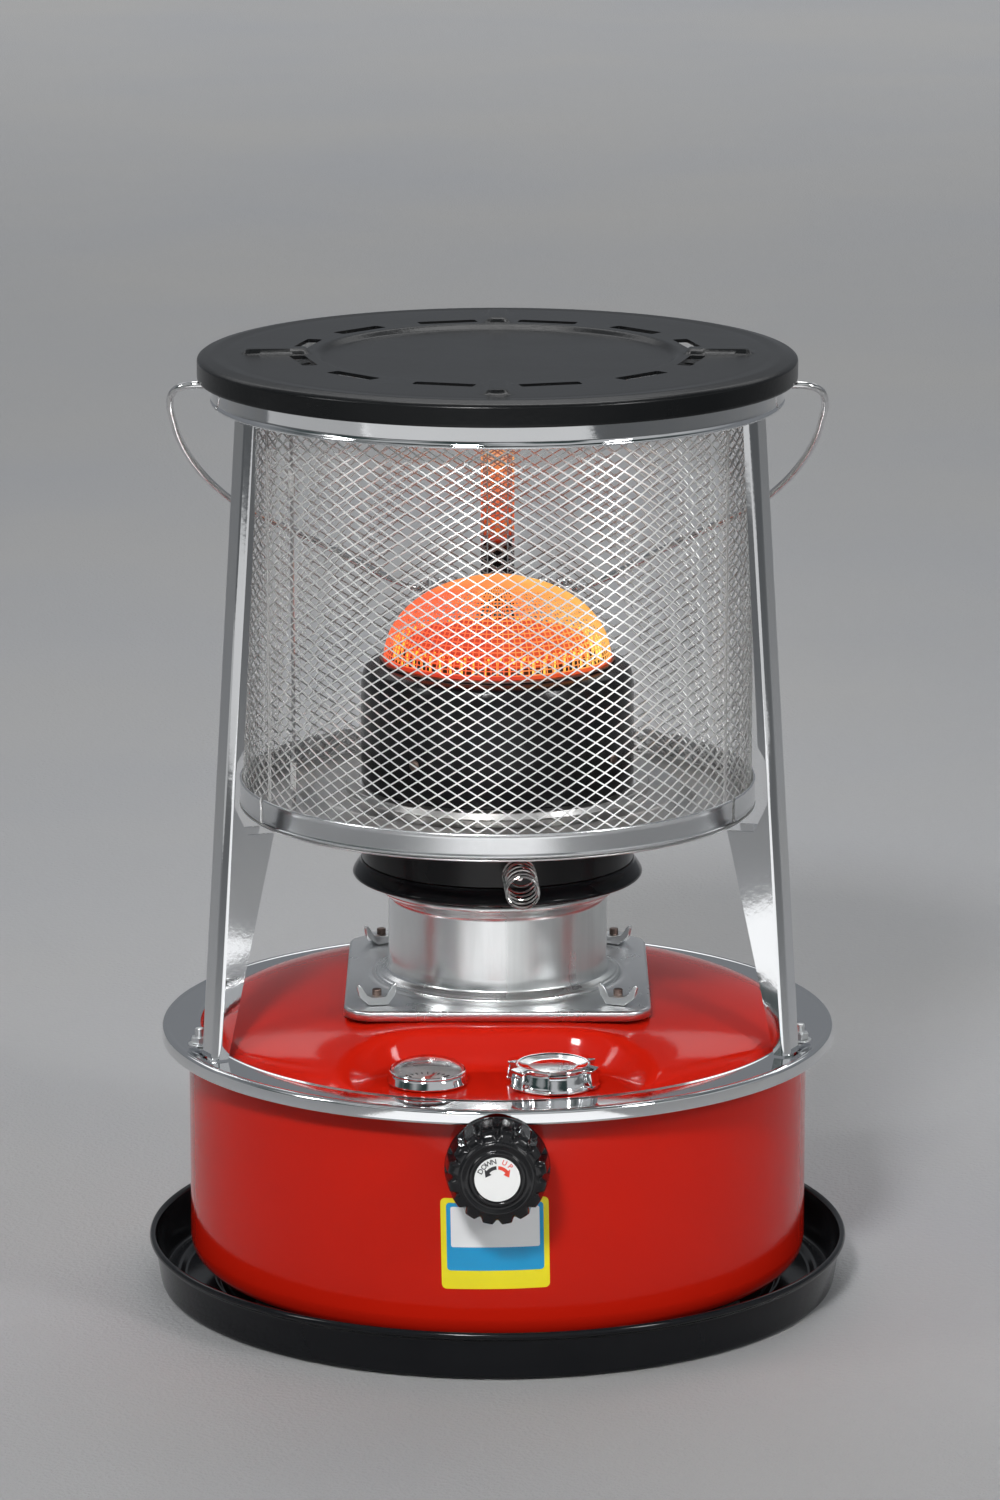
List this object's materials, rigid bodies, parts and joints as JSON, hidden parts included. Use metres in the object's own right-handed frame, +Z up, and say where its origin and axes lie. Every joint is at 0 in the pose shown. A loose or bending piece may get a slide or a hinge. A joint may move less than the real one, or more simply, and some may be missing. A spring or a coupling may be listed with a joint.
{
  "type": "kerosene stove",
  "caption": "Round wick kerosene stove with red fuel tank, black tray, mesh guard with swinging door, black cooking plate and wire carrying handle",
  "frame": {"origin": "centre of the tray's flat underside, on the floor", "axes": "+Z up through the burner's axis, -Y to the front (knob, gauge, cap and door), +X to the right seen from the front"},
  "size_m": [0.326, 0.339, 0.44],
  "materials": {
    "red_enamel": "glossy enamel",
    "black_enamel": "glossy enamel",
    "plate_enamel": "satin enamel",
    "drum_enamel": "semi-matt stove enamel",
    "chrome_plate": "bright plated steel",
    "zinc_plate": "zinc plated steel",
    "mesh_steel": "plated expanded metal",
    "steel": "plain steel",
    "hot_steel": "heat tinted steel",
    "glow": "glowing wire mesh",
    "glow_spreader": "glowing steel disc",
    "brass": "plain brass",
    "rubber": "matt",
    "gasket": "matt",
    "knob_plastic": "gloss",
    "disc_plastic": "printed",
    "dial_plastic": "printed",
    "lens": "clear",
    "wick_fabric": "woven wick",
    "float_foam": "matt"
  },
  "bodies": {
    "frame": {"drip_tray": "black_enamel", "tank_foot_1": "rubber", "tank_foot_2": "rubber", "tank_foot_3": "rubber", "tank_cup": "red_enamel", "tank_top": "red_enamel", "flange_ring": "chrome_plate", "gauge_bezel": "chrome_plate", "gauge_dial": "dial_plastic", "gauge_lens": "lens", "gauge_stem": "brass", "filler_neck": "zinc_plate", "mounting_plate": "zinc_plate", "plate_gasket": "gasket", "wing_nut_1": "zinc_plate", "wing_nut_2": "zinc_plate", "wing_nut_3": "zinc_plate", "wing_nut_4": "zinc_plate", "wick_casing": "zinc_plate", "draft_tube": "steel", "shaft_gland": "zinc_plate", "guard_floor": "zinc_plate", "rear_band": "chrome_plate", "rear_mesh": "mesh_steel", "hinge_rod": "steel", "top_ring": "chrome_plate", "top_plate": "plate_enamel", "leg_left": "chrome_plate", "leg_right": "chrome_plate", "leg_rear": "chrome_plate", "bolt_left": "zinc_plate", "bolt_right": "zinc_plate", "bolt_rear": "zinc_plate"},
    "door": {"door_band": "chrome_plate", "door_mesh": "mesh_steel", "door_knuckle_lower": "mesh_steel", "door_knuckle_upper": "mesh_steel"},
    "handle": {"bail": "chrome_plate", "bail_grip": "chrome_plate"},
    "burner": {"burner_dish": "black_enamel", "burner_drum": "drum_enamel", "flame_tube_outer": "hot_steel", "flame_tube_inner": "hot_steel", "flame_spreader": "glow_spreader", "glow_dome": "glow", "burner_lever": "steel", "lever_grip": "chrome_plate"},
    "adjuster": {"knob": "knob_plastic", "knob_disc": "disc_plastic", "wick_shaft": "steel", "pinion": "brass"},
    "wick_unit": {"wick": "wick_fabric", "wick_carrier": "steel"},
    "cap": {"filler_cap": "chrome_plate"},
    "float": {"float_arm": "brass", "gauge_float": "float_foam"}
  },
  "joints": [
    {"name": "door_swing", "type": "hinge", "parent": "frame", "child": "door", "pos_m": [-0.0918, -0.0667, 0.3227], "axis": [0, 0, -1], "range_deg": [0, 88]},
    {"name": "handle_swing", "type": "hinge", "parent": "frame", "child": "handle", "pos_m": [0, 0, 0.4226], "axis": [-1, 0, 0], "range_deg": [-262, 0]},
    {"name": "burner_lift", "type": "slide", "parent": "frame", "child": "burner", "axis": [0, 0, 1], "range_m": [0, 0.008]},
    {"name": "knob_turn", "type": "hinge", "parent": "frame", "child": "adjuster", "pos_m": [0, -0.1, 0.099], "axis": [0, 1, 0], "range_deg": [-171, 0]},
    {"name": "wick_raise", "type": "slide", "parent": "frame", "child": "wick_unit", "axis": [0, 0, 1], "range_m": [-0.018, 0]},
    {"name": "cap_lift", "type": "slide", "parent": "frame", "child": "cap", "axis": [0, 0, 1], "range_m": [0, 0.04]},
    {"name": "float_swing", "type": "hinge", "parent": "frame", "child": "float", "pos_m": [-0.0314, -0.106, 0.1007], "axis": [1, 0, 0], "range_deg": [0, 35]}
  ],
  "couplings": [
    {"joint": "wick_raise", "follows": "knob_turn", "m_per_rad": 0.006}
  ]
}
